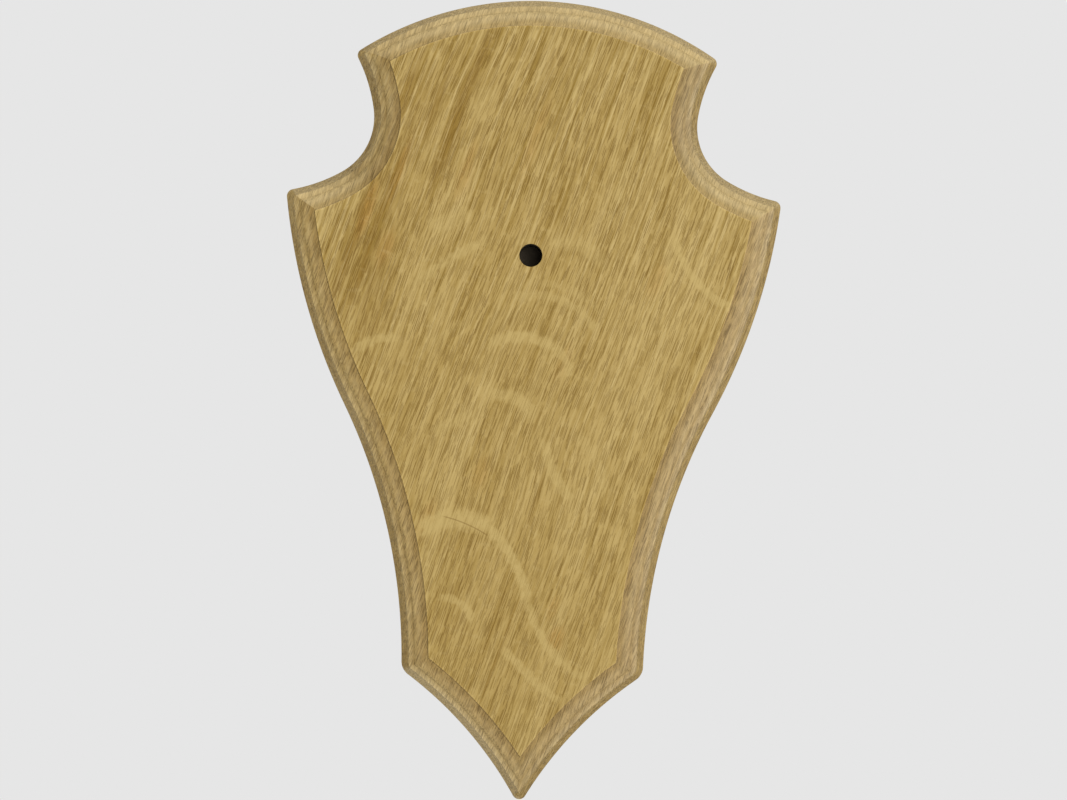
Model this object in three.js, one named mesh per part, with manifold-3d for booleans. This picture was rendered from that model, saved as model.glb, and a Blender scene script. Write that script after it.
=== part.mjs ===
// Antler mounting plaque: one shield-shaped oak board with a moulded edge, drilled once for the antlers.
// Millimetres, +Z up. The flat back lies on the wall plane y = 0 and the moulded front faces -Y.
// The origin is on the back, on the centre line, level with the middle of the board's height.
import * as THREE from 'three';
import { mergeVertices } from 'three/addons/utils/BufferGeometryUtils.js';
import Module from 'manifold-3d';

const wasm = await Module();
wasm.setup();

// The board
const THICKNESS = 18;
const BACK_EASE = 0.5; // the small chamfer round the back

// The outline, right half, from the top of the arch down to the tip
const APEX_Z = 105.4;
const TOP_RADIUS = 84.7;
const EAR_X = 48.0; // where the arch ends, before its corner is rounded
const SHOULDER = new THREE.Vector2(65.4, 53.8);
const FLANK_RADIUS = 162.1;
const WAIST = new THREE.Vector2(48.7, -2.3); // where the side turns from full to hollow
const LOWER_CORNER = new THREE.Vector2(31.9, -72.0);
const POINT_RADIUS = 103.1;
const TIP_Z = -107.4; // where the two bottom edges would meet, before the tip is rounded

// The notch between ear and shoulder: a tight middle arc and a wider one at each end
const NOTCH_END_RADIUS = 43.0;
const NOTCH_MIDDLE_RADIUS = 16.6;
const NOTCH_MIDDLE_HALF_ANGLE = THREE.MathUtils.degToRad(34.5);

// How far each corner is rounded
const EAR_ROUND = 1.8;
const SHOULDER_ROUND = 1.9;
const LOWER_CORNER_ROUND = 4.4;
const TIP_ROUND = 1.85;

// The moulding, inwards from the rim: bevel, flat, hollow, bead, a slope down, then a step up to the face
const RIM_DROP = 6.0; // the rim's top edge below the face
const BEVEL_WIDTH = 2.15;
const FLAT_DROP = 1.3;
const FLAT_WIDTH = 1.05;
const HOLLOW_RADIUS = 0.5;
const BEAD_RADIUS = 1.6;
const BEAD_RISE_ANGLE = THREE.MathUtils.degToRad(50);
const SLOPE_ANGLE = THREE.MathUtils.degToRad(5.5);
const SLOPE_WIDTH = 2.3;

// The blind hole that takes the antlers' screw
const HOLE_DIAMETER = 6.0;
const HOLE_X = -0.4; // drilled a little left of the centre line
const HOLE_Z = 37.85;
const HOLE_FLOOR = 3.2; // wood left behind the drill's point
const DRILL_POINT_ANGLE = THREE.MathUtils.degToRad(118);

// The keyhole slot in the back that the nail or screw in the wall goes into
const KEYHOLE_Z = 60.0; // centre of the round entry
const KEYHOLE_TRAVEL = 12.0; // how far the slot runs up from the entry
const KEYHOLE_HEAD_DIAMETER = 9.6;
const KEYHOLE_NECK_WIDTH = 5.0;
const KEYHOLE_LIP = 4.2;
const KEYHOLE_CHAMBER_DEPTH = 5.0;

// How finely the round shapes are faceted
const EDGE_STEP = 5.5; // millimetres along the outline
const NOTCH_STEP = 2.2;
const CORNER_STEPS = 4;
const HOLLOW_STEPS = 2;
const BEAD_STEPS = 6;
const HOLE_SIDES = 32;
const SAME_POINT = 0.001; // points nearer than this are one corner
const CUTTER_OVERRUN = 1; // cutters start this far outside the back

// The centre of an arc that starts at one point, square to a given direction there, and ends at another
function tangentArcCentre(start, square, end) {
  const chord = end.clone().sub(start);
  const radius = chord.lengthSq() / (2 * chord.dot(square));
  return start.clone().addScaledVector(square, radius);
}

// The centre of an arc of a given radius through two points, on the left (1) or right (-1) of its chord
function arcCentre(start, end, radius, side) {
  const chord = end.clone().sub(start);
  const middle = start.clone().add(end).multiplyScalar(0.5);
  const square = new THREE.Vector2(-chord.y, chord.x).normalize();
  return middle.addScaledVector(square, side * Math.sqrt(radius ** 2 - chord.lengthSq() / 4));
}

// Where two circles cross, at the crossing nearest to a given point
function crossing(centreA, radiusA, centreB, radiusB, near) {
  const between = centreB.clone().sub(centreA);
  const gap = between.length();
  const along = (gap ** 2 + radiusA ** 2 - radiusB ** 2) / (2 * gap);
  const across = Math.sqrt(radiusA ** 2 - along ** 2);
  const ahead = between.divideScalar(gap);
  const foot = centreA.clone().addScaledVector(ahead, along);
  const square = new THREE.Vector2(-ahead.y, ahead.x);
  const left = foot.clone().addScaledVector(square, across);
  const right = foot.clone().addScaledVector(square, -across);
  return left.distanceTo(near) < right.distanceTo(near) ? left : right;
}

// The angle that an arc turns through about its centre, from one point to another
function turnBetween(centre, start, end) {
  const from = start.clone().sub(centre);
  const to = end.clone().sub(centre);
  return Math.atan2(from.cross(to), from.dot(to));
}

// One arc of the outline. An inset takes from the radius of an arc that bulges outwards (bulge 1)
// and adds to the radius of a hollow one (bulge -1), so every level keeps its true distance.
function edge(centre, start, end, bulge, step) {
  const radius = centre.distanceTo(start);
  const length = radius * Math.abs(turnBetween(centre, start, end));
  return { centre, radiusAt: (inset) => radius - bulge * inset, steps: Math.ceil(length / step) };
}

// The point of an arc, at an inset, that lies the same way from its centre as a given point
function onEdge(arc, towards, inset) {
  return towards.clone().sub(arc.centre).setLength(arc.radiusAt(inset)).add(arc.centre);
}

// The top of the board is one full arc, and its ends are the ears
const topCentre = new THREE.Vector2(0, APEX_Z - TOP_RADIUS);
const ear = new THREE.Vector2(EAR_X, topCentre.y + Math.sqrt(TOP_RADIUS ** 2 - EAR_X ** 2));

// The notch is alike about the middle of the line from ear to shoulder
const notchAlong = SHOULDER.clone().sub(ear).normalize();
const notchOut = new THREE.Vector2(-notchAlong.y, notchAlong.x);
const notchFoot = ear.clone().add(SHOULDER).multiplyScalar(0.5);
const notchPoint = (shift, lift) =>
  notchFoot.clone().addScaledVector(notchAlong, shift).addScaledVector(notchOut, lift);
const notchSpread = NOTCH_END_RADIUS - NOTCH_MIDDLE_RADIUS;
const notchShift = notchSpread * Math.sin(NOTCH_MIDDLE_HALF_ANGLE);
const notchEndLift = Math.sqrt(NOTCH_END_RADIUS ** 2 - (ear.distanceTo(SHOULDER) / 2 + notchShift) ** 2);
const notchMiddle = notchPoint(0, notchEndLift - notchSpread * Math.cos(NOTCH_MIDDLE_HALF_ANGLE));
const notchUpper = notchPoint(notchShift, notchEndLift);
const notchLower = notchPoint(-notchShift, notchEndLift);
const upperJoint = notchMiddle.clone().sub(notchUpper).setLength(NOTCH_MIDDLE_RADIUS).add(notchMiddle);
const lowerJoint = notchMiddle.clone().sub(notchLower).setLength(NOTCH_MIDDLE_RADIUS).add(notchMiddle);

// The side swells below the shoulder, hollows towards the lower corner, and the bottom runs to a point
const flankCentre = arcCentre(SHOULDER, WAIST, FLANK_RADIUS, -1);
const waistCentre = tangentArcCentre(WAIST, WAIST.clone().sub(flankCentre).normalize(), LOWER_CORNER);
const tip = new THREE.Vector2(0, TIP_Z);
const pointCentre = arcCentre(LOWER_CORNER, tip, POINT_RADIUS, 1);

// The right half of the outline in order. A joint without a rounding is one where arcs run on smoothly.
const EDGES = [
  edge(topCentre, new THREE.Vector2(0, APEX_Z), ear, 1, EDGE_STEP),
  edge(notchUpper, ear, upperJoint, -1, NOTCH_STEP),
  edge(notchMiddle, upperJoint, lowerJoint, -1, NOTCH_STEP),
  edge(notchLower, lowerJoint, SHOULDER, -1, NOTCH_STEP),
  edge(flankCentre, SHOULDER, WAIST, 1, EDGE_STEP),
  edge(waistCentre, WAIST, LOWER_CORNER, -1, EDGE_STEP),
  edge(pointCentre, LOWER_CORNER, tip, -1, EDGE_STEP),
];
const JOINTS = [
  { at: ear, round: EAR_ROUND },
  { at: upperJoint },
  { at: lowerJoint },
  { at: SHOULDER, round: SHOULDER_ROUND },
  { at: WAIST },
  { at: LOWER_CORNER, round: LOWER_CORNER_ROUND },
];

// How one arc meets the next at an inset: where it ends, where the next starts, and the centre of the
// rounding between them. Once the inset has used up the rounding, the corner is a sharp mitre.
function meeting(before, after, joint, inset) {
  const mitre = (depth) =>
    crossing(before.centre, before.radiusAt(depth), after.centre, after.radiusAt(depth), joint.at);
  if (joint.round > inset) {
    const centre = mitre(joint.round);
    return { end: onEdge(before, centre, inset), start: onEdge(after, centre, inset), centre };
  }
  const point = joint.round ? mitre(inset) : onEdge(before, joint.at, inset);
  return { end: point, start: point, centre: null };
}

// Points along an arc from one point to another, the first included and the last left out
function arcPoints(centre, start, end, steps) {
  const turn = turnBetween(centre, start, end);
  return Array.from({ length: steps }, (_, k) => start.clone().rotateAround(centre, (turn * k) / steps));
}

// The rounding of a corner, or the same number of points all in one place at a mitre
function cornerPoints({ end, start, centre }) {
  if (!centre) return Array.from({ length: CORNER_STEPS }, () => end.clone());
  return arcPoints(centre, end, start, CORNER_STEPS);
}

// The whole outline at an inset from the rim, clockwise as seen from the front
function outlineAt(inset) {
  const lastEdge = EDGES.at(-1);
  const onAxis = (centre, radius) => centre.y + Math.sqrt(radius ** 2 - centre.x ** 2);
  const roundCentre = new THREE.Vector2(0, onAxis(pointCentre, lastEdge.radiusAt(TIP_ROUND)));
  const isRound = inset < TIP_ROUND;
  const tipEnd = isRound
    ? onEdge(lastEdge, roundCentre, inset)
    : new THREE.Vector2(0, onAxis(pointCentre, lastEdge.radiusAt(inset)));
  const tipBottom = isRound ? new THREE.Vector2(0, roundCentre.y - TIP_ROUND + inset) : tipEnd.clone();
  const meetings = JOINTS.map((joint, k) => meeting(EDGES[k], EDGES[k + 1], joint, inset));
  const right = EDGES.flatMap((arc, k) => {
    const start = k === 0 ? onEdge(arc, new THREE.Vector2(0, APEX_Z), inset) : meetings[k - 1].start;
    const end = k === EDGES.length - 1 ? tipEnd : meetings[k].end;
    const along = arcPoints(arc.centre, start, end, arc.steps);
    return k < JOINTS.length && JOINTS[k].round ? [...along, ...cornerPoints(meetings[k])] : along;
  });
  right.push(...cornerPoints({ end: tipEnd, start: tipBottom, centre: isRound ? roundCentre : null }));
  const left = right.slice(1).reverse().map((point) => new THREE.Vector2(-point.x, point.y));
  return [...right, tipBottom, ...left];
}

// The section through the edge as [inset, height above the back], from the back's edge to the face
function mouldingSection() {
  const flatHeight = THICKNESS - FLAT_DROP;
  const hollowStart = BEVEL_WIDTH + FLAT_WIDTH;
  const arc = (inset, height, radius, from, to, steps) =>
    Array.from({ length: steps }, (_, k) => {
      const angle = from + ((to - from) * (k + 1)) / steps;
      return [inset + radius * Math.sin(angle), height + radius * Math.cos(angle)];
    });
  const hollow = arc(hollowStart, flatHeight + HOLLOW_RADIUS, HOLLOW_RADIUS,
    Math.PI, Math.PI - BEAD_RISE_ANGLE, HOLLOW_STEPS);
  const [hollowEnd, hollowHeight] = hollow.at(-1);
  const beadInset = hollowEnd + BEAD_RADIUS * Math.sin(BEAD_RISE_ANGLE);
  const beadHeight = hollowHeight - BEAD_RADIUS * Math.cos(BEAD_RISE_ANGLE);
  const bead = arc(beadInset, beadHeight, BEAD_RADIUS, -BEAD_RISE_ANGLE, SLOPE_ANGLE, BEAD_STEPS);
  const [beadEnd, beadEndHeight] = bead.at(-1);
  const faceInset = beadEnd + SLOPE_WIDTH;
  return [
    [BACK_EASE, 0],
    [0, BACK_EASE],
    [0, THICKNESS - RIM_DROP],
    [BEVEL_WIDTH, flatHeight],
    [hollowStart, flatHeight],
    ...hollow,
    ...bead,
    [faceInset, beadEndHeight - SLOPE_WIDTH * Math.tan(SLOPE_ANGLE)],
    [faceInset, THICKNESS],
  ];
}

// A closed geometry as a solid that can be cut
function solidOf(geometry) {
  const bare = geometry.clone();
  bare.deleteAttribute('normal');
  bare.deleteAttribute('uv');
  const merged = mergeVertices(bare);
  const corners = merged.index.array;
  const triangles = [];
  for (let k = 0; k < corners.length; k += 3) {
    const [a, b, c] = corners.slice(k, k + 3);
    if (a !== b && b !== c && c !== a) triangles.push(a, b, c);
  }
  return new wasm.Manifold(new wasm.Mesh({
    numProp: 3,
    vertProperties: merged.attributes.position.array,
    triVerts: Uint32Array.from(triangles),
  }));
}

// The uncut board: the outline at each step of the section, joined level to level and capped
function boardGeometry() {
  const section = mouldingSection();
  const levels = section.map(([inset, height]) =>
    outlineAt(inset).map((point) => new THREE.Vector3(point.x, -height, point.y)));
  const count = levels[0].length;
  const corners = [];
  for (let level = 0; level + 1 < levels.length; level += 1) {
    const [low, high] = [levels[level], levels[level + 1]];
    for (let k = 0; k < count; k += 1) {
      const next = (k + 1) % count;
      corners.push(low[k], high[k], low[next], high[k], high[next], low[next]);
    }
  }
  corners.push(...capTriangles(levels.at(-1)), ...capTriangles(levels[0]).reverse());
  return new THREE.BufferGeometry().setFromPoints(corners);
}

// A flat level filled with triangles that face the front
function capTriangles(level) {
  const rim = level.filter((point, k) => point.distanceTo(level.at(k - 1)) > SAME_POINT);
  const flat = rim.map((point) => new THREE.Vector2(point.x, point.z));
  return THREE.ShapeUtils.triangulateShape(flat, []).flatMap((triangle) => triangle.map((k) => rim[k]));
}

// A slot with round ends on the board's centre line, as a cutter from one depth to another
function slotCutter(bottom, top, width, near, far) {
  const shape = new THREE.Shape();
  shape.absarc(0, top, width / 2, 0, Math.PI);
  shape.absarc(0, bottom, width / 2, Math.PI, 2 * Math.PI);
  const options = { depth: far - near, bevelEnabled: false, curveSegments: HOLE_SIDES / 2 };
  return solidOf(new THREE.ExtrudeGeometry(shape, options).rotateX(Math.PI / 2).translate(0, -near, 0));
}

// The drill and its point, standing on the hole's floor and running out past the face
function drillCutter() {
  const radius = HOLE_DIAMETER / 2;
  const pointHeight = radius / Math.tan(DRILL_POINT_ANGLE / 2);
  const profile = [[0, 0], [radius, pointHeight], [radius, THICKNESS], [0, THICKNESS]];
  const lathe = new THREE.LatheGeometry(profile.map(([x, y]) => new THREE.Vector2(x, y)), HOLE_SIDES);
  return solidOf(lathe.rotateX(Math.PI).translate(HOLE_X, -HOLE_FLOOR, HOLE_Z));
}

const keyholeFloor = KEYHOLE_LIP + KEYHOLE_CHAMBER_DEPTH;
const keyholeTop = KEYHOLE_Z + KEYHOLE_TRAVEL;
const entry = slotCutter(KEYHOLE_Z, KEYHOLE_Z, KEYHOLE_HEAD_DIAMETER, -CUTTER_OVERRUN, keyholeFloor);
const neck = slotCutter(KEYHOLE_Z, keyholeTop, KEYHOLE_NECK_WIDTH, -CUTTER_OVERRUN, keyholeFloor);
const chamber = slotCutter(KEYHOLE_Z, keyholeTop, KEYHOLE_HEAD_DIAMETER, KEYHOLE_LIP, keyholeFloor);

// The shield board: oak, oiled and faintly shiny
function shieldBoard() {
  const keyhole = entry.add(neck).add(chamber);
  const cut = solidOf(boardGeometry()).subtract(keyhole).subtract(drillCutter());
  const { vertProperties, triVerts } = cut.getMesh();
  const geometry = new THREE.BufferGeometry();
  geometry.setAttribute('position', new THREE.BufferAttribute(vertProperties, 3));
  geometry.setIndex(new THREE.BufferAttribute(triVerts, 1));
  geometry.computeVertexNormals();
  const oak = new THREE.MeshStandardMaterial({ color: '#b1975b', roughness: 0.6, metalness: 0 });
  const board = new THREE.Mesh(geometry, oak);
  board.name = 'shield_board';
  return board;
}

const plaque = new THREE.Group();
plaque.add(shieldBoard());

export default plaque;
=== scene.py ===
# %% [markdown]
# # An antler mounting plaque in oak
# The object is one board: sawn to a shield outline, moulded all round its front edge with a router, and
# drilled once where the antlers are screwed on. The lesson builds that board as one fine mesh from a few
# sizes, grows an oak material for it, and sets up a soft studio with the camera straight in front.

# %% Load the frame
import bpy
import numpy as np
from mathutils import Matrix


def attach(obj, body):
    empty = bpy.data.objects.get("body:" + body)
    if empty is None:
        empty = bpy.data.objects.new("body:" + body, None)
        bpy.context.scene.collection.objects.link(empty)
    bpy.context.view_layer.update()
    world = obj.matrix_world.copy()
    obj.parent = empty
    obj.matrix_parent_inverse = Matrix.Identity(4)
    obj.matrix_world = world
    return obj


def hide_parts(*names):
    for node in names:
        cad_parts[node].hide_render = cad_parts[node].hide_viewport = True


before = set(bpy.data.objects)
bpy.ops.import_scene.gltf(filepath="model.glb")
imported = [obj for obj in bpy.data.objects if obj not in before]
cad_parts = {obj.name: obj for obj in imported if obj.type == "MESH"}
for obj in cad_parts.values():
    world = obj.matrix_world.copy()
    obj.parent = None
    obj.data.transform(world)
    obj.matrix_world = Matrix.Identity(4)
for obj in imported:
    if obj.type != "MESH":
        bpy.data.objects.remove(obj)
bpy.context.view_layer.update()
MM = 0.001

# %% [markdown]
# ## The outline
# A plaque maker cuts the outline round a template of plain arcs, so it is drawn here the same way: each
# half is seven arcs that either run on smoothly or meet at a rounded corner. A curve object could hold the
# same line, but formulas give the true outline at any distance in from the edge, which the moulding needs.
# Points are complex numbers: the real part runs to the right, the imaginary part up.

# %% Sizes of the outline
APEX = 105.4j * MM
TOP_RADIUS = 84.7 * MM
EAR_X = 48.0 * MM
SHOULDER = (65.4 + 53.8j) * MM
FLANK_RADIUS = 162.1 * MM
WAIST = (48.7 - 2.3j) * MM
LOWER_CORNER = (31.9 - 72.0j) * MM
POINT_RADIUS = 103.1 * MM
TIP = -107.4j * MM
NOTCH_END_RADIUS = 43.0 * MM
NOTCH_MIDDLE_RADIUS = 16.6 * MM
NOTCH_MIDDLE_HALF_ANGLE = np.radians(34.5)
EAR_ROUND, SHOULDER_ROUND, LOWER_CORNER_ROUND, TIP_ROUND = np.array([1.8, 1.9, 4.4, 1.85]) * MM
EDGE_STEP = 0.8 * MM
CORNER_STEPS = 10


# %% Arcs, and where they meet
def unit(way):
    """A direction of length 1: way / |way|."""
    return way / abs(way)


def centre_through(start, end, radius, side):
    """Centre of the arc through two points: half way along the chord, then square to it by
    sqrt(radius^2 - (chord / 2)^2), to the left of the way from start to end for side 1, right for -1."""
    chord = end - start
    return (start + end) / 2 + side * 1j * unit(chord) * np.sqrt(radius**2 - abs(chord) ** 2 / 4)


def centre_tangent(start, square, end):
    """Centre of the arc that leaves start at a right angle to square and ends at end: it lies along square
    by |chord|^2 / (2 * chord . square)."""
    chord = end - start
    return start + square * abs(chord) ** 2 / (2 * (chord * np.conj(square)).real)


def crossing(centre_a, radius_a, centre_b, radius_b, near):
    """Where two circles cross, nearest to a point: along the line between the centres by
    (gap^2 + a^2 - b^2) / (2 gap), then square to it by sqrt(a^2 - along^2)."""
    gap, ahead = abs(centre_b - centre_a), unit(centre_b - centre_a)
    along = (gap**2 + radius_a**2 - radius_b**2) / (2 * gap)
    across = 1j * ahead * np.sqrt(radius_a**2 - along**2)
    foot = centre_a + ahead * along
    return min(foot + across, foot - across, key=lambda point: abs(point - near))


def turn_between(centre, start, end):
    """The angle, in radians, that an arc turns through from start to end about its centre."""
    return np.angle((end - centre) / (start - centre))


def arc(centre, start, end, count, last=False):
    """Points centre + (start - centre) * exp(i * turn * k / count), without the end unless last is set."""
    steps = np.arange(count + 1 if last else count) / count
    return centre + (start - centre) * np.exp(1j * turn_between(centre, start, end) * steps)


print("circles of 3 and 4, 5 apart, cross at", np.round(crossing(0, 3, 5, 4, 1j), 3))

# %% The centres of the arcs
top_centre = APEX - 1j * TOP_RADIUS
ear = EAR_X + 1j * (top_centre.imag + np.sqrt(TOP_RADIUS**2 - EAR_X**2))
notch_along = unit(SHOULDER - ear)
notch_spread = NOTCH_END_RADIUS - NOTCH_MIDDLE_RADIUS
notch_shift = notch_spread * np.sin(NOTCH_MIDDLE_HALF_ANGLE)
notch_lift = np.sqrt(NOTCH_END_RADIUS**2 - (abs(SHOULDER - ear) / 2 + notch_shift) ** 2)
notch_foot = (ear + SHOULDER) / 2
notch_upper = notch_foot + notch_along * (notch_shift + 1j * notch_lift)
notch_lower = notch_foot + notch_along * (-notch_shift + 1j * notch_lift)
notch_middle = notch_foot + 1j * notch_along * (notch_lift - notch_spread * np.cos(NOTCH_MIDDLE_HALF_ANGLE))
upper_joint = notch_middle + unit(notch_middle - notch_upper) * NOTCH_MIDDLE_RADIUS
lower_joint = notch_middle + unit(notch_middle - notch_lower) * NOTCH_MIDDLE_RADIUS
flank_centre = centre_through(SHOULDER, WAIST, FLANK_RADIUS, -1)
waist_centre = centre_tangent(WAIST, unit(WAIST - flank_centre), LOWER_CORNER)
point_centre = centre_through(LOWER_CORNER, TIP, POINT_RADIUS, 1)
print("ear in mm:", np.round(ear / MM, 2), " waist radius in mm:", round(abs(waist_centre - WAIST) / MM, 1))

# %% [markdown]
# ## The outline at any distance from the edge
# A router follows the edge at a fixed distance, so every line of the moulding is the outline moved inwards.
# Moving an arc only changes its radius: a full arc shrinks and a hollow one grows. A rounded corner keeps
# its centre and gets tighter until it is sharp, which is why the inner lines of the moulding have sharp
# corners although the outer ones are round. Scaling the outline would be simpler, but then the moulding
# would be wider at the top than at the sides.

# %% The arcs of the right half
# Each arc: its centre, where it starts, where it ends, and 1 if it bulges outwards or -1 if it is hollow.
ARCS = [
    (top_centre, APEX, ear, 1),
    (notch_upper, ear, upper_joint, -1),
    (notch_middle, upper_joint, lower_joint, -1),
    (notch_lower, lower_joint, SHOULDER, -1),
    (flank_centre, SHOULDER, WAIST, 1),
    (waist_centre, WAIST, LOWER_CORNER, -1),
    (point_centre, LOWER_CORNER, TIP, -1),
]
# How far the joint after each arc is rounded: 0 where the arcs run on smoothly.
ROUNDS = [EAR_ROUND, 0, 0, SHOULDER_ROUND, 0, LOWER_CORNER_ROUND]
print("arc radii in mm:", [round(float(abs(start - centre) / MM), 1) for centre, start, _, _ in ARCS])


# %% Moving an arc and a corner inwards

def radius_at(k, inset):
    """Radius of arc k at an inset: radius - bulge * inset."""
    centre, start, _, bulge = ARCS[k]
    return abs(start - centre) - bulge * inset


def on_arc(k, towards, inset):
    """The point of arc k, at an inset, that lies the same way from its centre as another point."""
    return ARCS[k][0] + unit(towards - ARCS[k][0]) * radius_at(k, inset)


def joint(k, inset):
    """How arc k meets the next: (its end, the next one's start, the centre of the rounding or None)."""
    at = ARCS[k][2]

    def mitre(depth):
        return crossing(ARCS[k][0], radius_at(k, depth), ARCS[k + 1][0], radius_at(k + 1, depth), at)

    if ROUNDS[k] > inset:
        centre = mitre(ROUNDS[k])
        return on_arc(k, centre, inset), on_arc(k + 1, centre, inset), centre
    point = mitre(inset) if ROUNDS[k] else on_arc(k, at, inset)
    return point, point, None


def rounding(end, start, centre):
    """The points of a rounded corner, or the same number in one place where it is sharp."""
    return np.full(CORNER_STEPS, end) if centre is None else arc(centre, end, start, CORNER_STEPS)


for depth in (0.0, 3 * MM):
    kind = "sharp" if joint(0, depth)[2] is None else "round"
    print("the ear's corner is", kind, "at", depth / MM, "mm in")


# %% The closed outline
def outline(inset):
    """The closed outline at an inset, clockwise from the top as seen from the front. The tip's rounding
    has its centre on the axis, where the last arc moved in by TIP_ROUND meets it."""
    last = len(ARCS) - 1

    def on_axis(depth):
        return 1j * (point_centre.imag + np.sqrt(radius_at(last, depth) ** 2 - point_centre.real**2))

    tip_centre = on_axis(TIP_ROUND) if inset < TIP_ROUND else None
    tip_end = on_axis(inset) if tip_centre is None else on_arc(last, tip_centre, inset)
    tip_bottom = tip_end if tip_centre is None else tip_centre - 1j * (TIP_ROUND - inset)
    joints = [joint(k, inset) for k in range(last)]
    starts = [on_arc(0, APEX, inset)] + [start for _, start, _ in joints]
    ends = [end for end, _, _ in joints] + [tip_end]
    right = []
    for k, (centre, first, final, _) in enumerate(ARCS):
        length = abs(first - centre) * abs(turn_between(centre, first, final))
        right.append(arc(centre, starts[k], ends[k], int(np.ceil(length / EDGE_STEP))))
        if k < last and ROUNDS[k]:
            right.append(rounding(*joints[k]))
    right.append(rounding(tip_end, tip_bottom, tip_centre))
    right = np.concatenate(right)
    return np.concatenate([right, [tip_bottom], -np.conj(right[:0:-1])])


rim = outline(0.0)
print("outline points:", len(rim), " width and height in mm:",
      round(np.ptp(rim.real) / MM, 1), round(np.ptp(rim.imag) / MM, 1))

# %% [markdown]
# ## The moulding's section
# The cutter leaves, from the rim inwards, a steep bevel, a flat, a tight hollow, a rounded bead, a gentle
# slope, and an upright step to the face. Sanding then takes the sharpness off each outer corner. The bevel
# modifier could do that, but it would also round the inner corners that a cutter leaves crisp, so each
# outer corner gets its own small arc here. Section points are complex too: inset + i * height.

# %% Section sizes
THICKNESS = 18.0 * MM
RIM_DROP = 6.0 * MM
BEVEL_WIDTH = 2.15 * MM
FLAT_DROP = 1.3 * MM
FLAT_WIDTH = 1.05 * MM
HOLLOW_RADIUS = 0.5 * MM
BEAD_RADIUS = 1.6 * MM
BEAD_RISE_ANGLE = np.radians(50)
SLOPE_ANGLE = np.radians(5.5)
SLOPE_WIDTH = 2.3 * MM
BACK_SOFT, RIM_SOFT, ARRIS_SOFT, FACE_SOFT = np.array([0.85, 0.4, 0.22, 0.28]) * MM
GUARD = 0.03 * MM
FACE_MARGIN = 1.5 * MM
print("the bevel drops", RIM_DROP / MM, "mm over", round(BEVEL_WIDTH / MM, 2), "mm")


# %% The section's line
def eased(before, corner, after, radius, count=6):
    """A corner rounded to a radius, from radius / tan(half its angle) before it to as far after it, with a
    guard point just outside each end so that the flats beside it keep flat shading."""
    back, ahead = unit(before - corner), unit(after - corner)
    half = abs(np.angle(ahead / back)) / 2
    start, end = (corner + way * radius / np.tan(half) for way in (back, ahead))
    centre = corner + unit(back + ahead) * radius / np.sin(half)
    return np.concatenate([[start + back * GUARD], arc(centre, start, end, count, last=True),
                           [end + ahead * GUARD]])


flat_height = THICKNESS - FLAT_DROP
rim_corner = 1j * (THICKNESS - RIM_DROP)
outer_arris = BEVEL_WIDTH + 1j * flat_height
hollow_start = outer_arris + FLAT_WIDTH
hollow_centre = hollow_start + 1j * HOLLOW_RADIUS
hollow_end = hollow_centre - 1j * HOLLOW_RADIUS * np.exp(1j * BEAD_RISE_ANGLE)
bead_centre = hollow_end - 1j * BEAD_RADIUS * np.exp(1j * BEAD_RISE_ANGLE)
bead_end = bead_centre + 1j * BEAD_RADIUS * np.exp(-1j * SLOPE_ANGLE)
step_foot = bead_end + SLOPE_WIDTH * (1 - 1j * np.tan(SLOPE_ANGLE))
face_arris = step_foot.real + 1j * THICKNESS
section = np.concatenate([
    eased(4 * MM, 0, rim_corner, BACK_SOFT),
    eased(0, rim_corner, outer_arris, RIM_SOFT),
    eased(rim_corner, outer_arris, hollow_start, ARRIS_SOFT),
    arc(hollow_centre, hollow_start, hollow_end, 6),
    arc(bead_centre, hollow_end, bead_end, 14, last=True),
    [bead_end + 0.02 * (step_foot - bead_end), step_foot],
    eased(step_foot, face_arris, face_arris + 4 * MM, FACE_SOFT),
    [face_arris + FACE_MARGIN],
])
print("section points:", len(section), " face starts at inset", round(step_foot.real / MM, 2), "mm")

# %% [markdown]
# ## Rings, walls and flat fills
# Everything on this board is either a wall that joins one ring of points to the next or a flat face that
# fills a ring. Boolean cutters would make the holes too, but they leave thin slivers that shade badly, so
# the rings are joined directly. All rings run clockwise from their top as seen from the front, which
# settles which way every face looks.

# %% A small kit for joining rings
# Material slots: bare oak, and the near-black wall of the hole, which is painted shade.
BARE, DARK_WALL = 0, 1


def placed(ring, height):
    """Ring points as x, y, z: x and z are the complex parts, and y is minus the height above the back."""
    return np.stack([ring.real, np.full(len(ring), -height), ring.imag], axis=-1)


def wall(rings):
    """Two triangles for each step round and each step across, from rings of equal length stacked as an
    array [across, round, xyz]: (i, j), (i + 1, j), (i + 1, j + 1) and (i, j), (i + 1, j + 1), (i, j + 1)."""
    across, around = rings.shape[:2]
    here = np.arange(across * around).reshape(across, around)
    beside = np.roll(here, -1, axis=1)
    a, b, c, d = here[:-1].ravel(), here[1:].ravel(), beside[1:].ravel(), beside[:-1].ravel()
    return rings.reshape(-1, 3), np.concatenate([np.stack([a, b, c], 1), np.stack([a, c, d], 1)])


def halves(ring):
    """A ring of an even number of points as its right half, top to bottom, and its left, bottom to top."""
    middle = len(ring) // 2
    return ring[: middle + 1], np.append(ring[middle:], ring[:1], axis=0)


# %% [markdown]
# ## The drilled hole and the keyhole slot
# The photo shows one drilled hole, black inside, so it stops short of the back: an open one would let the
# pale background through. The drill leaves a cone at its end. In the back there is a keyhole slot to hang
# the plaque by: a round entry for the screw's head, and a narrow neck above it with a wider chamber
# behind, all from one pass of a T-shaped cutter.

# %% Rings of the drilled hole
HOLE = (-0.4 + 37.85j) * MM
HOLE_RADIUS = 3.0 * MM
HOLE_FLOOR = 3.2 * MM
DRILL_POINT_ANGLE = np.radians(118)
HOLE_SOFT = 0.12 * MM
HOLE_SIDES = 96

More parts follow.
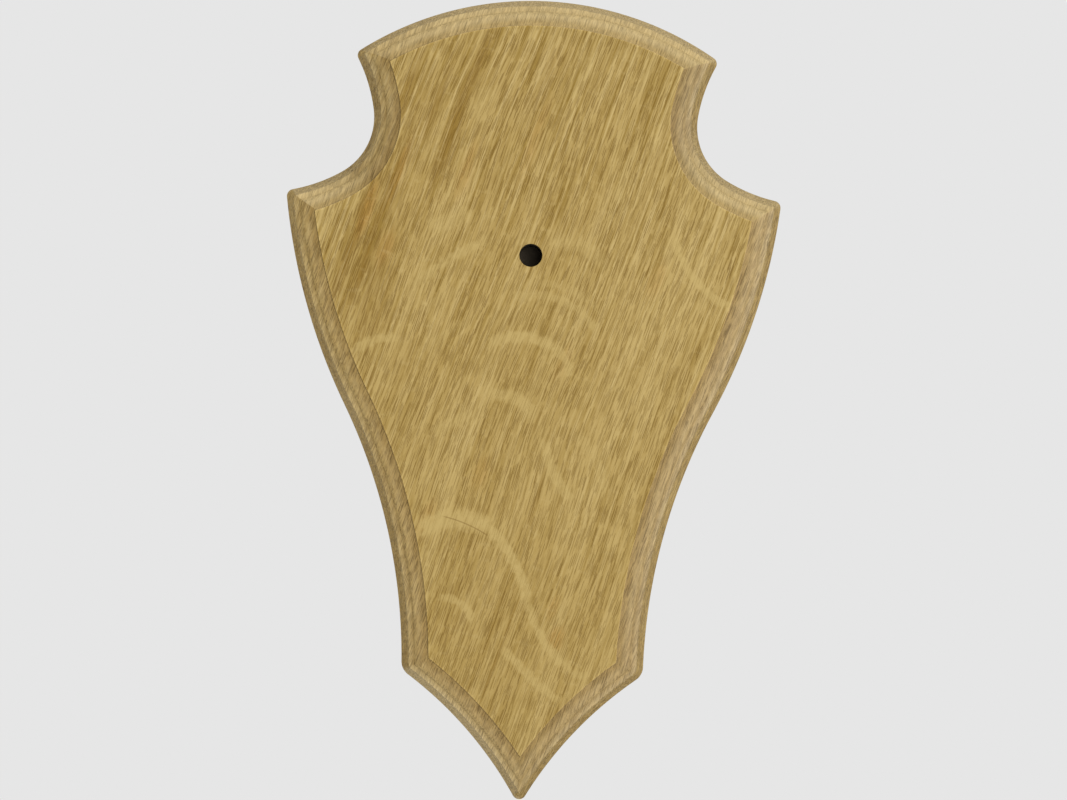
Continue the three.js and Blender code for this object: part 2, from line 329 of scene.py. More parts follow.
circle = 1j * np.exp(-2j * np.pi * np.arange(HOLE_SIDES) / HOLE_SIDES)
drill_shoulder = HOLE_FLOOR + HOLE_RADIUS / np.tan(DRILL_POINT_ANGLE / 2)
lip = np.linspace(0, np.pi / 2, 5)
lip_radii = HOLE_RADIUS + HOLE_SOFT * (1 - np.sin(lip))
lip_heights = THICKNESS - HOLE_SOFT * (1 - np.cos(lip))
hole_radii = [HOLE_RADIUS + HOLE_SOFT + GUARD, *lip_radii, HOLE_RADIUS, 0]
hole_heights = [THICKNESS, *lip_heights, drill_shoulder, HOLE_FLOOR]
hole_rings = np.stack([placed(HOLE + circle * r, h) for r, h in zip(hole_radii, hole_heights)])
print("hole rings:", hole_rings.shape, " depth in mm:", round((THICKNESS - HOLE_FLOOR) / MM, 1))

# %% Rings of the keyhole slot
KEYHOLE = 60.0j * MM
KEYHOLE_TRAVEL = 12.0j * MM
KEYHOLE_HEAD_RADIUS = 4.8 * MM
KEYHOLE_NECK = 2.5 * MM
KEYHOLE_LIP = 4.2 * MM
KEYHOLE_CHAMBER_DEPTH = 5.0 * MM

slot_top = KEYHOLE + KEYHOLE_TRAVEL
neck_foot = KEYHOLE + KEYHOLE_NECK + 1j * np.sqrt(KEYHOLE_HEAD_RADIUS**2 - KEYHOLE_NECK**2)


def mirrored(right):
    """A closed ring from its right half, top to bottom: x turns into -x on the way back up."""
    return np.concatenate([right, -np.conj(right[-2:0:-1])])


entry_side = KEYHOLE + KEYHOLE_HEAD_RADIUS
entry_foot = KEYHOLE - 1j * KEYHOLE_HEAD_RADIUS
keyhole_ring = mirrored(np.concatenate([
    arc(slot_top, slot_top + 1j * KEYHOLE_NECK, slot_top + KEYHOLE_NECK, 10),
    np.linspace(slot_top + KEYHOLE_NECK, neck_foot, 6, endpoint=False),
    arc(KEYHOLE, neck_foot, entry_side, 10),
    arc(KEYHOLE, entry_side, entry_foot, 16, last=True),
]))
chamber_ring = mirrored(np.concatenate([
    arc(slot_top, slot_top + 1j * KEYHOLE_HEAD_RADIUS, slot_top + KEYHOLE_HEAD_RADIUS, 10),
    np.linspace(slot_top + KEYHOLE_HEAD_RADIUS, entry_side, 16, endpoint=False),
    arc(KEYHOLE, entry_side, entry_foot, 16, last=True),
]))
chamber_floor = KEYHOLE_LIP + KEYHOLE_CHAMBER_DEPTH
slot_rings = np.stack([placed(chamber_ring, chamber_floor), placed(chamber_ring, KEYHOLE_LIP),
                       placed(keyhole_ring, KEYHOLE_LIP), placed(keyhole_ring, 0)])
print("slot rings:", slot_rings.shape, " chamber floor in mm from the back:", round(chamber_floor / MM, 1))

# %% [markdown]
# ## One closed board
# The walls bring their own points, and where two rings meet they hold the same ones. Welding them by
# position closes the board, and takes out the triangles that a sharp corner has squeezed to nothing. Each
# flat side is filled as a right and a left half, because a face can't have a hole in its middle.

# %% All the walls
edge_rings = np.stack([placed(outline(point.real), point.imag) for point in section])
points, triangles, finish = [], [], []
# The deep wall and the floor of the hole take the near-black material, painted shade.
hole_finish = np.array([BARE] * len(lip) + [DARK_WALL, DARK_WALL])
for rings, kinds in ((edge_rings, BARE), (hole_rings, hole_finish), (slot_rings, BARE)):
    ring_points, ring_triangles = wall(rings)
    across, around = rings.shape[:2]
    triangles.append(ring_triangles + sum(len(p) for p in points))
    points.append(ring_points)
    finish.append(np.tile(np.repeat(np.broadcast_to(kinds, across - 1), around), 2))
points = np.concatenate(points)
print("points before welding:", len(points))

# %% Welding by position
_, first, welded = np.unique(np.round(points / (0.001 * MM)).astype(np.int64), axis=0,
                             return_index=True, return_inverse=True)
welded = welded.ravel()
triangles = welded[np.concatenate(triangles)]
whole = (triangles != np.roll(triangles, 1, axis=1)).all(axis=1)
triangles, finish = triangles[whole], np.concatenate(finish)[whole]

edge_index = welded[: edge_rings.shape[0] * edge_rings.shape[1]].reshape(edge_rings.shape[:2])
hole_index = welded[edge_index.size : edge_index.size + hole_rings.shape[0] * HOLE_SIDES]
hole_index = hole_index.reshape(-1, HOLE_SIDES)
slot_index = welded[edge_index.size + hole_index.size :].reshape(slot_rings.shape[:2])
print("points after welding:", len(first), " wall triangles:", len(triangles))


# %% The flat sides
def tidy(loop):
    """A face's corners without the ones that repeat the corner before them."""
    return loop[loop != np.roll(loop, 1)].tolist()


def flat_side(outer, inner, facing_back):
    """The right and left face of a flat side with an opening: down the outer ring and up the inner one."""
    faces = [tidy(np.concatenate([out, hole[::-1]])) for out, hole in zip(halves(outer), halves(inner))]
    return faces if facing_back else [face[::-1] for face in faces]


fills = flat_side(edge_index[0], slot_index[-1], True)
fills += flat_side(edge_index[-1], hole_index[0], False)
fills += [tidy(slot_index[0])]
print("corners of the flat faces:", [len(face) for face in fills])

# %% The board's mesh
board_mesh = bpy.data.meshes.new("oak_board")
board_mesh.from_pydata((points[first]).tolist(), [], triangles.tolist() + fills)
board_mesh.polygons.foreach_set("material_index", np.append(finish, [BARE] * len(fills)).astype(np.int32))
board_mesh.polygons.foreach_set("use_smooth", np.ones(len(board_mesh.polygons), dtype=bool))
board_mesh.set_sharp_from_angle(angle=np.radians(35))
print("board:", len(board_mesh.vertices), "points,", len(board_mesh.polygons), "faces")

# %% Is it closed?
edge_of_corner = np.zeros(len(board_mesh.loops), dtype=np.int32)
board_mesh.loops.foreach_get("edge_index", edge_of_corner)
faces_at_edge = np.bincount(edge_of_corner, minlength=len(board_mesh.edges))
print("edges without exactly two faces:", np.count_nonzero(faces_at_edge != 2))

# %% [markdown]
# ## What the oak has to know about each point
# The router's cut takes the finish differently from the planed face, and it looks palest where the edge
# faces up the grain and brownest where it faces down it. So each point carries two numbers: its distance
# from the rim in millimetres, and the cosine of the angle between the edge's outward way and the grain's.
# Painted masks would need an image, and these numbers come free from the rings.

# %% Distance from the rim, and the way the edge faces
GRAIN_LEAN = np.radians(18.5)
FACE_INSET = 20.0
inset_mm = np.full(len(points), FACE_INSET)
inset_mm[: edge_index.size] = np.repeat(np.where(section.imag > 0, section.real / MM, FACE_INSET), len(rim))
rim_way = np.roll(rim, -1) - np.roll(rim, 1)
rim_outwards = 1j * rim_way / abs(rim_way)
grain_way = np.exp(1j * (np.pi / 2 - GRAIN_LEAN))
up_grain = np.zeros(len(points))
up_grain[: edge_index.size] = np.tile((rim_outwards * np.conj(grain_way)).real, len(section))
for name, values in (("inset", inset_mm), ("up_grain", up_grain)):
    layer = board_mesh.attributes.new(name, "FLOAT", "POINT")
    layer.data.foreach_set("value", values[first].astype(np.float32))
    print(name, "runs from", values.min().round(2), "to", values.max().round(2))

# %% The board as an object
board = bpy.data.objects.new("oak_board", board_mesh)
bpy.context.scene.collection.objects.link(board)
print("board linked:", board.name)

# %% [markdown]
# ## A kit for building materials
# A material is a small program of nodes. Written out in full, each node takes four lines, so the lesson
# keeps a few helpers: one makes any node and fills its inputs, and the others name the ones used most.
# Colours are chosen as they look on the lit board and divided by the light that falls on it.

# %% From a colour seen to a colour of the wood
LIGHT_ON_FACE = 1.27
SHEEN_ON_FACE = 0.0065


def look(red, green, blue):
    """The surface colour that shows as a given 0 to 255 colour on the lit face: each channel is
    ((c / 255 + 0.055) / 1.055) ^ 2.4, less the sheen, divided by the light on the face."""
    channels = ((np.array([red, green, blue]) / 255 + 0.055) / 1.055) ** 2.4
    return (*((channels - SHEEN_ON_FACE) / LIGHT_ON_FACE), 1.0)


print("one grey card in this light:", np.round(look(128, 128, 128), 3))


# %% Node helpers
def node(tree, kind, inputs, output=0, **settings):
    """A shader node's output: each input, by name or place, takes another node's output or a value."""
    made = tree.nodes.new("ShaderNode" + kind)
    for name, value in settings.items():
        setattr(made, name, value)
    for place, value in inputs.items():
        if isinstance(value, bpy.types.NodeSocket):
            tree.links.new(value, made.inputs[place])
        else:
            made.inputs[place].default_value = value
    return made.outputs[output]


def maths(tree, operation, a, b=0.0):
    """One sum of two numbers, such as ADD or MULTIPLY, or of one, such as ABSOLUTE."""
    return node(tree, "Math", {0: a, 1: b}, operation=operation)


def noise(tree, place, stretch, detail=2.0, roughness=0.5, warp=0.0):
    """Cloudy noise from 0 to 1, with stretch in clouds for each millimetre across, deep and along."""
    scaled = node(tree, "VectorMath", {0: place, 1: stretch}, operation="MULTIPLY")
    return node(tree, "TexNoise", {"Vector": scaled, "Scale": 1.0, "Detail": detail,
                                   "Roughness": roughness, "Distortion": warp})


def ramp(tree, value, low, high, start=0.0, end=1.0):
    """A smooth step: start below low, end above high."""
    return node(tree, "MapRange", {"Value": value, "From Min": low, "From Max": high,
                                   "To Min": start, "To Max": end}, interpolation_type="SMOOTHSTEP")


def blend(tree, amount, colour_a, colour_b, way="MIX"):
    """Colour a where amount is 0 and colour b where it is 1. The Mix node has several inputs and outputs
    of one name, so its colour ones are called by their place: 6 and 7 in, 2 out."""
    return node(tree, "Mix", {0: amount, 6: colour_a, 7: colour_b}, 2, data_type="RGBA", blend_type=way)


print("helpers:", [helper.__name__ for helper in (node, maths, noise, ramp, blend)])

# %% [markdown]
# ## Where the grain runs
# The blank was cut with its grain leaning to the right, about a fifth of a right angle from upright, and
# it wanders a little. So the oak is worked out in its own axes: across the grain, into the board, and
# along the grain. Because the noise fills space, the same fibres run over the moulding and come out as
# dots on the end grain, as they do in a real board. A flat picture of wood could not do that.

# %% The grain's axes
oak = bpy.data.materials.new("oiled_oak")
oak.use_nodes = True
tree = oak.node_tree
tree.nodes.clear()
here = node(tree, "TexCoord", {}, "Object")
millimetres = node(tree, "VectorMath", {0: here, "Scale": 1 / MM}, operation="SCALE")
slow_drift = node(tree, "TexNoise", {"Vector": millimetres, "Scale": 0.014, "Detail": 1.0}, "Color")
drift = node(tree, "VectorMath", {0: slow_drift, 1: (6.0, 0.0, 6.0), 2: (-3.0, 0.0, -3.0)},
             operation="MULTIPLY_ADD")
wandering = node(tree, "VectorMath", {0: millimetres, 1: drift}, operation="ADD")
grain = node(tree, "Mapping", {"Vector": wandering, "Rotation": (0.0, -GRAIN_LEAN, 0.0)})
print("grain leans", round(np.degrees(GRAIN_LEAN)), "degrees to the right of upright")

# %% [markdown]
# ## Growth rings, streaks and pores
# Oak grows a row of wide pores each spring and denser wood after it. Cut along the grain, the pores are
# short dark dashes a quarter of a millimetre wide and a few millimetres long, crowded in the spring bands.
# Stretched cells make the dashes: each cell holds one box, and a board cut through the cells meets some of
# them. Noise above a threshold also gives dashes, but they come out plump in the middle like grains of
# rice. Soft stretched noise does serve for the streaks and the fine fibres between the pores. A wood
# texture node draws rings that are too even for this cut.

# %% Bands, streaks and pores
def dashes(place, stretch, half_width):
    """One dash in each stretched cell: 1 within half_width of the cell's middle on every axis, falling to 0
    at 1.6 times that. Each cell has its own strength, from 0.3 to 1."""
    scaled = node(tree, "VectorMath", {0: place, 1: stretch}, operation="MULTIPLY")
    cells = node(tree, "TexVoronoi", {"Vector": scaled, "Scale": 1.0, "Randomness": 0.8}, "Distance",
                 distance="CHEBYCHEV")
    chance = cells.node.outputs["Color"]
    inside = ramp(tree, cells, half_width, 1.6 * half_width, 1.0, 0.0)
    return maths(tree, "MULTIPLY", inside, ramp(tree, chance, 0.2, 0.8, 0.3, 1.0))


broad = noise(tree, grain, (0.055, 0.055, 0.007), detail=2.0)
rings = noise(tree, grain, (0.42, 0.30, 0.012), detail=3.0, roughness=0.6)
streaks = noise(tree, grain, (1.1, 1.0, 0.03), detail=2.5)
fibres = noise(tree, grain, (1.7, 1.7, 0.15), detail=2.0, roughness=0.6)
beside = node(tree, "VectorMath", {0: grain, 1: (40.0, 20.0, 70.0)}, operation="ADD")
pores = dashes(grain, (2.2, 2.2, 0.09), 0.19)
for place, stretch in ((grain, (3.2, 3.2, 0.18)), (beside, (2.8, 2.8, 0.13))):
    pores = maths(tree, "MAXIMUM", pores, dashes(place, stretch, 0.19))
pores = maths(tree, "MULTIPLY", pores, ramp(tree, rings, 0.36, 0.60, 0.7, 1.0))
print("nodes so far:", len(tree.nodes))

# %% [markdown]
# ## The bands of this board
# Besides the even streaks, this board has a few darker and paler bands that follow the grain, mostly on
# its left, and a few warm, rusty places. They are placed one by one, as long soft spots in the grain's own
# axes, and the streaks and fibres break them up so that no spot shows as a spot. Noise alone would give
# such bands too, but not where this board has them.

# %% Bands placed one by one
# Across the grain and along it in mm, half width, half length, strength: above 0 darker, below 0 paler
BANDS = [
    (-43.5, 72, 2.4, 24, 0.75),
    (-42.5, 52, 3.0, 14, 0.60),
    (-49.5, 66, 1.3, 16, 0.55),
    (-58.5, 66, 1.8, 18, 0.55),
    (-53.0, 27, 1.7, 26, 0.75),
    (-58.0, 24, 1.6, 24, 0.75),
    (-48.5, 12, 2.4, 20, 0.60),
    (-45.0, 10, 1.6, 12, 0.50),
    (-54.0, 44, 7.0, 40, 0.40),
    (-25.5, 78, 3.0, 16, 0.40),
    (-29.0, -10, 1.2, 30, 0.25),
    (10.6, 66, 1.2, 24, 0.40),
    (11.0, -24, 0.9, 14, 0.50),
    (10.8, -60, 0.8, 16, 0.55),
    (14.8, -64, 0.5, 20, 0.90),
    (7.2, -8, 0.9, 18, 0.40),
    (18.6, 8, 0.8, 40, 0.30),
    (3.0, -58, 9.0, 22, 0.20),
    (3.6, 56, 2.2, 30, -0.35),
    (-37.0, 22, 3.0, 26, -0.15),
    (25.0, 22, 3.5, 30, -0.10),
]
# A few warmer, rusty places, in the same terms
RUST = [
    (-57.0, 32, 1.8, 9, 0.9),
    (-49.0, 24, 2.6, 6, 0.6),
    (-52.5, 45, 1.2, 10, 0.7),
    (-36.0, 51, 2.0, 9, 0.6),
    (-22.0, 64, 1.6, 12, 0.5),
    (27.5, -57, 2.2, 4, 0.9),
    (24.0, -49, 1.4, 4, 0.5),
    (-4.5, -22, 2.4, 5, 0.5),
    (-14.0, -38, 2.0, 6, 0.5),
    (21.0, 41, 2.2, 6, 0.5),
    (6.0, 12, 1.6, 6, 0.4),
]


def soft_spots(rows):
    """The sum of soft spots: each is its strength at its middle and 0 from 1.3 half widths out."""
    total = 0.0
    for across_mm, along_mm, half_width, half_length, strength in rows:
        spread = (1 / half_width, 0.0, 1 / half_length)
        middle = (-across_mm / half_width, 0.0, -along_mm / half_length)
        spot = node(tree, "VectorMath", {0: grain, 1: spread, 2: middle}, operation="MULTIPLY_ADD")
        away = node(tree, "VectorMath", {0: spot}, "Value", operation="LENGTH")
        total = maths(tree, "ADD", total, ramp(tree, away, 0.3, 1.3, strength, 0.0))
    return total


bands = maths(tree, "MULTIPLY", soft_spots(BANDS), ramp(tree, streaks, 0.36, 0.62, 0.35, 1.25))
rust = maths(tree, "MULTIPLY", soft_spots(RUST), ramp(tree, fibres, 0.36, 0.60, 0.2, 0.7))
print("bands placed:", len(BANDS), " rusty places:", len(RUST), " nodes so far:", len(tree.nodes))

# %% [markdown]
# ## Ray flecks
# Where the saw meets the rays that run out from the tree's heart, oak shows pale curved flecks that lie
# across the grain. They are what makes this board this one, so the large ones are placed one by one: each is
# an arc through three points, in millimetres on the board, with its width and strength. Random flecks
# would be quicker, and would look right only from afar. A hairline scratch on the lower left is one more
# such arc, thin and dark. All of them stop a few millimetres in, so that none comes out on the back.

# %% The flecks on the face
# Start, middle and end (x + iz, mm), width in mm, strength
FLECKS = [
    (-27.7 - 34.7j, -18.8 - 31.7j, -8.9 - 33.7j, 4.2, 1),
    (-9.9 - 33.7j, -4 - 40.6j, 1 - 53.5j, 2.4, 1),
    (1 - 52.5j, 4 - 60.5j, 8.9 - 67.4j, 1.9, 0.8),
    (8.9 - 67.4j, 11.9 - 69.9j, 16.8 - 72.3j, 1.9, 0.6),
    (-4 - 66.4j, 2 - 72.3j, 9.9 - 78.8j, 1.9, 0.8),
    (-22.8 - 52.5j, -16.8 - 53.5j, -13.4 - 58.5j, 1.8, 0.7),
    (-10.9 + 0.5j, -4 + 0.5j, 1.5 - 4.5j, 2.8, 0.65),
    (-22.8 - 7.9j, -19.8 - 6.4j, -14.9 - 3.5j, 2.2, 0.6),
    (5 - 12.9j, 6.9 - 18.8j, 11.9 - 25.8j, 2.2, 0.8),
    (14.9 - 10.9j, 17.8 - 15.9j, 20.8 - 23.8j, 2.5, 0.45),
    (-45.6 + 11.9j, -40.6 + 14.7j, -34.7 + 15.4j, 2.1, 0.85),
    (-28.7 + 31.2j, -21.8 + 36.2j, -10.9 + 42.1j, 2.1, 0.75),
    (-27.7 + 45.6j, -21.8 + 46.1j, -16.8 + 49.5j, 3.5, 0.6),
    (37.7 + 41.1j, 42.6 + 32.7j, 52.5 + 25.3j, 1.9, 0.9),
    (-8.6 + 15.4j, -2 + 16.4j, 7 + 13.5j, 2.5, 0.85),
    (6.4 + 13.9j, 9.2 + 10.9j, 10.6 + 6.6j, 2, 0.8),
    (-1 + 27.3j, 7.9 + 26.3j, 17.3 + 18.3j, 1.9, 0.6),
    (2 + 30.7j, 10.9 + 28.7j, 18.8 + 22.8j, 1.6, 0.35),
    (5.9 + 41.1j, 12.9 + 40.6j, 19.3 + 34.7j, 3, 0.5),
    (-26.8 + 23.8j, -23.8 + 26.3j, -18.8 + 28.2j, 1.9, 0.35),
    (-28.7 + 11.9j, -23.8 + 15.9j, -17.8 + 20.3j, 2, 0.35),
    (-14.9 + 72.3j, -14.4 + 77.3j, -11.9 + 81.3j, 5, 0.4),
    (20.8 + 52.5j, 23.2 + 56.5j, 24.8 + 60.5j, 3.8, 0.45),
]
print("flecks to place:", len(FLECKS))

# %% A ragged copy of the place, flattened onto the board
ragged = node(tree, "TexNoise", {"Vector": millimetres, "Scale": 0.55, "Detail": 2.0}, "Color")
shake = node(tree, "VectorMath", {0: ragged, 1: (2.2, 0.0, 2.2), 2: (-1.1, 0.0, -1.1)},
             operation="MULTIPLY_ADD")
shaken = node(tree, "VectorMath", {0: millimetres, 1: shake}, operation="ADD")
on_plane = node(tree, "VectorMath", {0: shaken, 1: (1.0, 0.0, 1.0)}, operation="MULTIPLY")
print("nodes so far:", len(tree.nodes))


# %% One fleck
def centre_of_three(a, b, c):
    """The centre of the circle through three points."""
    w = (c - a) / (b - a)
    return a + (b - a) * (w - abs(w) ** 2) / (2j * w.imag)


def fleck(start, middle, end, width, strength, where=on_plane):
    """How much one fleck shows at each point: full within width / 4 of its arc, and fading at its ends."""
    centre = centre_of_three(start, middle, end)
    radius, reach = abs(middle - centre), max(abs(start - middle), abs(end - middle))
    away = node(tree, "VectorMath", {0: where, 1: (centre.real, 0.0, centre.imag)}, "Value",
                operation="DISTANCE")
    off_line = maths(tree, "ABSOLUTE", maths(tree, "SUBTRACT", away, radius))
    across = ramp(tree, off_line, 0.25 * width, 0.85 * width, strength, 0.0)
    past = node(tree, "VectorMath", {0: where, 1: (middle.real, 0.0, middle.imag)}, "Value",
                operation="DISTANCE")
    return maths(tree, "MULTIPLY", across, ramp(tree, past, 0.8 * reach, 1.1 * reach, 1.0, 0.0))


print("centre of three points of a circle:", np.round(centre_of_three(1, 1j, -1 + 0j), 3))

# %% All the flecks, and the scratch
FACE_DEPTH = 15.0  # they lie only in the wood in front of this, in millimetres from the back

flecks = fleck(*FLECKS[0])
for row in FLECKS[1:]:
    flecks = maths(tree, "MAXIMUM", flecks, fleck(*row))
depth = node(tree, "SeparateXYZ", {0: millimetres}, "Y")
near_face = ramp(tree, depth, -FACE_DEPTH - 1, -FACE_DEPTH, 1.0, 0.0)
flecks = maths(tree, "MULTIPLY", flecks, near_face)
level = node(tree, "VectorMath", {0: millimetres, 1: (1.0, 0.0, 1.0)}, operation="MULTIPLY")
scratch = fleck(-21.3 - 31.1j, -15.5 - 32.9j, -9.7 - 35.9j, 0.3, 0.5, level)
scratch = maths(tree, "MULTIPLY", scratch, near_face)
small_flecks = ramp(tree, noise(tree, grain, (0.22, 0.5, 0.55), detail=3.0), 0.56, 0.72)
print("flecks placed:", len(FLECKS), " nodes so far:", len(tree.nodes))

# %% [markdown]
# ## The colour of the planed face
# The face is a warm straw colour. Bands, rings and streaks shift it towards brown or honey, flecks lie
# over them, and the pores are dark. Each step is one blend, so each can be judged by itself.

# %% Straw, rings and bands
straw = blend(tree, ramp(tree, broad, 0.35, 0.65), look(179, 152, 90), look(187, 161, 100))
ringed = blend(tree, ramp(tree, rings, 0.40, 0.64, 0.0, 0.42), straw, look(158, 129, 65))
banded = blend(tree, ramp(tree, bands, 0.0, 1.0), ringed, look(140, 109, 44))
lifted = blend(tree, ramp(tree, bands, 0.0, -1.0), banded, look(196, 172, 112))
print("nodes so far:", len(tree.nodes))

# %% Streaks and fibres, bolder towards the top
height = node(tree, "SeparateXYZ", {0: millimetres}, "Z")
boldness = ramp(tree, height, -40.0, 80.0, 0.28, 0.80)
light_streaks = maths(tree, "MULTIPLY", boldness, ramp(tree, streaks, 0.50, 0.68, 0.0, 0.75))
dark_streaks = maths(tree, "MULTIPLY", boldness, ramp(tree, streaks, 0.50, 0.32))
honey = blend(tree, light_streaks, lifted, look(204, 180, 122))
olive = blend(tree, dark_streaks, honey, look(142, 113, 46))
pale_fibres = blend(tree, ramp(tree, fibres, 0.50, 0.64, 0.0, 0.16), olive, look(203, 179, 120))
fibrous = blend(tree, ramp(tree, fibres, 0.50, 0.36, 0.0, 0.32), pale_fibres, look(146, 117, 53))
rusty = blend(tree, rust, fibrous, look(172, 130, 62))
print("nodes so far:", len(tree.nodes))

# %% Flecks, pores and the scratch
speckled = blend(tree, maths(tree, "MULTIPLY", small_flecks, 0.25), rusty, look(194, 170, 112))
patches = ramp(tree, noise(tree, millimetres, (0.45, 0.45, 0.45), detail=3.0), 0.3, 0.6, 0.5, 0.9)
flecked = blend(tree, maths(tree, "MULTIPLY", flecks, patches), speckled, look(191, 166, 105))
shown = maths(tree, "SUBTRACT", 1.0, maths(tree, "MULTIPLY", flecks, 0.6))
pore_depth = maths(tree, "MULTIPLY", pores, shown)
porous = blend(tree, maths(tree, "MULTIPLY", pore_depth, 0.7), flecked, look(112, 84, 38))
planed = blend(tree, scratch, porous, look(124, 94, 44))
print("nodes so far:", len(tree.nodes))

# %% [markdown]
# ## The colour of the moulding
# The cut wood is greyer and pinker than the face, because the cutter opens fibres that drink the oil. It
# is palest across the grain, at the top and at the foot, where the paler outer edge facing down is also
# painted light from below. The bevel along the sides keeps more of the face's colour, browner and darker
# towards the left, which is painted shade from the light on the right. In the notches the cut wood is a
# little darker. The hollow and the foot of the step are darker, painted shade with some oil and dust, and
# the two arrises are paler, a painted highlight with some wear from hands and cloths. A short curve of tone
# against distance from the rim holds that last part, because light alone gives only some of it.

# %% Tone against distance from the rim
# Distance from the rim in mm, the tone there, and the tone of its blue: 1 leaves the wood as it is
# The dips at 3.5 mm and from 5.7 to 7.1 mm are painted shade in the hollow and at the foot of the step, with
# some oil and dust; the peaks at 2.15 and 7.45 mm are painted highlights on the two arrises.
TONES = [(0.0, 0.95, 0.82), (1.7, 0.93, 0.78), (2.15, 1.10, 1.32), (2.5, 1.04, 1.25), (3.0, 0.97, 1.08),
         (3.5, 0.93, 0.94), (4.2, 0.98, 1.03), (5.0, 0.97, 1.01), (5.7, 0.85, 0.80), (6.4, 0.77, 0.61),
         (7.1, 0.85, 0.71), (7.3, 1.08, 1.05), (7.45, 1.20, 1.22), (7.65, 1.12, 1.15), (7.9, 1.0, 1.0)]
BRIGHTEST = 1.35
LONGEST = 10.0

inset = node(tree, "Attribute", {}, "Fac", attribute_name="inset")
tone = node(tree, "ValToRGB", {"Fac": maths(tree, "DIVIDE", inset, LONGEST)})
stops = tone.node.color_ramp.elements
while len(stops) < len(TONES):
    stops.new(1.0)
for stop, (distance, amount, blue) in zip(stops, TONES):
    stop.position = distance / LONGEST
    stop.color = (amount / BRIGHTEST, (0.75 * amount + 0.25 * blue) / BRIGHTEST, blue / BRIGHTEST, 1.0)
full_tone = node(tree, "VectorMath", {0: tone, "Scale": BRIGHTEST}, operation="SCALE")
print("tone stops:", len(stops))

# %% The colour of the cut wood
moulded = ramp(tree, inset, 7.3, 7.5, 1.0, 0.0)
facing_up = node(tree, "Attribute", {}, "Fac", attribute_name="up_grain")
outer_part = ramp(tree, inset, 3.6, 4.6, 1.0, 0.0)
sideways = node(tree, "SeparateXYZ", {0: millimetres}, "X")
# Browner and darker towards the left, paler to the right: painted shade from the light on the right.
darker_left_paler_right = blend(tree, ramp(tree, sideways, -60.0, 60.0), look(154, 130, 87), look(180, 156, 120))
# On the outer bevel, where the edge faces down, the cut wood is made paler: painted light from below.
rim_most = ramp(tree, inset, 1.6, 2.4, 0.9, 0.4)
facing_down = maths(tree, "MULTIPLY", maths(tree, "MULTIPLY", outer_part, rim_most),
                    ramp(tree, facing_up, -0.55, -0.9))
paler_facing_down = blend(tree, facing_down, darker_left_paler_right, look(204, 184, 140))
cut_wood = blend(tree, ramp(tree, facing_up, 0.3, 0.9), paler_facing_down, look(196, 173, 125))
# End grain at the top takes more of the cut colour; the share of 1.7 where the edge faces down is painted
# light from below.
end_grain_and_light_below = maths(tree, "MAXIMUM", ramp(tree, facing_up, 0.5, 0.95, 0.45, 0.95),
                  ramp(tree, facing_up, -0.5, -0.9, 0.45, 1.7))
fresh_cut = maths(tree, "MULTIPLY", moulded, ramp(tree, inset, 1.6, 2.4, end_grain_and_light_below, 1.0))
cut_share = maths(tree, "MULTIPLY", fresh_cut, ramp(tree, facing_up, 0.0, 1.0, 0.5, 0.75))
cut_plain = blend(tree, cut_share, planed, cut_wood)
print("nodes so far:", len(tree.nodes))

# %% Fuzz, pores and darker notches on the cut
fuzz = ramp(tree, noise(tree, grain, (2.6, 1.0, 0.4), detail=3.0, roughness=0.65), 0.3, 0.7, -0.5, 0.5)
# The cut wood is made a little darker in the notches.
in_notch = maths(tree, "MULTIPLY", ramp(tree, height, 52.0, 60.0), ramp(tree, height, 92.0, 84.0))
notch_darkening = ramp(tree, in_notch, 0.0, 1.0, 1.0, 0.91)
swing = maths(tree, "MULTIPLY", fuzz, ramp(tree, inset, 1.6, 2.4, 0.55, 0.36))
swing = maths(tree, "SUBTRACT", swing, maths(tree, "MULTIPLY", pores, 0.25))
swing = maths(tree, "MULTIPLY", swing, ramp(tree, inset, 0.0, 0.5, 0.45, 1.0))
mottle = maths(tree, "MULTIPLY", maths(tree, "ADD", 1.04, swing), notch_darkening)
fuzzy = node(tree, "VectorMath", {0: cut_plain, "Scale": mottle}, operation="SCALE")
cut_tinted = blend(tree, moulded, cut_plain, fuzzy)
print("nodes so far:", len(tree.nodes))

# %% Painted shade and highlights of the tone curve, in patches
even_top = maths(tree, "MULTIPLY", outer_part, ramp(tree, facing_up, 0.1, 0.6, 0.0, 0.8))
patches_of_tone = ramp(tree, noise(tree, millimetres, (0.12, 0.12, 0.12), detail=2.0), 0.3, 0.7, 0.6, 1.0)
patchy = maths(tree, "MULTIPLY", patches_of_tone, maths(tree, "SUBTRACT", 1.0, even_top))
# The tone curve applied: painted shade in the hollow and at the step's foot, painted highlights on the
# arrises.
toned_shade_and_highlight = blend(tree, 1.0, cut_tinted, full_tone, "MULTIPLY")
colour = blend(tree, patchy, cut_tinted, toned_shade_and_highlight)
print("nodes so far:", len(tree.nodes))

# %% [markdown]
# ## Sheen and touch
# The pores lie a hair below the surface, and the oil leaves a low sheen that is duller in them. A bump
# carries this, because real dents this small would cost millions of points. The sheen is one number on
# the shader itself, so that it survives when the model is exported.

# %% The oak shader
roughness = ramp(tree, pores, 0.0, 1.0, 0.52, 0.75)
relief = maths(tree, "SUBTRACT", maths(tree, "MULTIPLY", streaks, 0.25), pore_depth)
bump = node(tree, "Bump", {"Height": relief, "Strength": 0.35, "Distance": 0.05 * MM})
shader = node(tree, "BsdfPrincipled", {"Base Color": colour, "Roughness": roughness, "Normal": bump,
                                       "Specular IOR Level": 0.1})
tree.links.new(shader, tree.nodes.new("ShaderNodeOutputMaterial").inputs["Surface"])
print("oak nodes:", len(tree.nodes))

# %% [markdown]
# ## The dark hole
# The wall and floor of the hole are brown-black and dull: painted shade, which makes the deep hole read
# black. It is a second material on the faces inside the hole only.

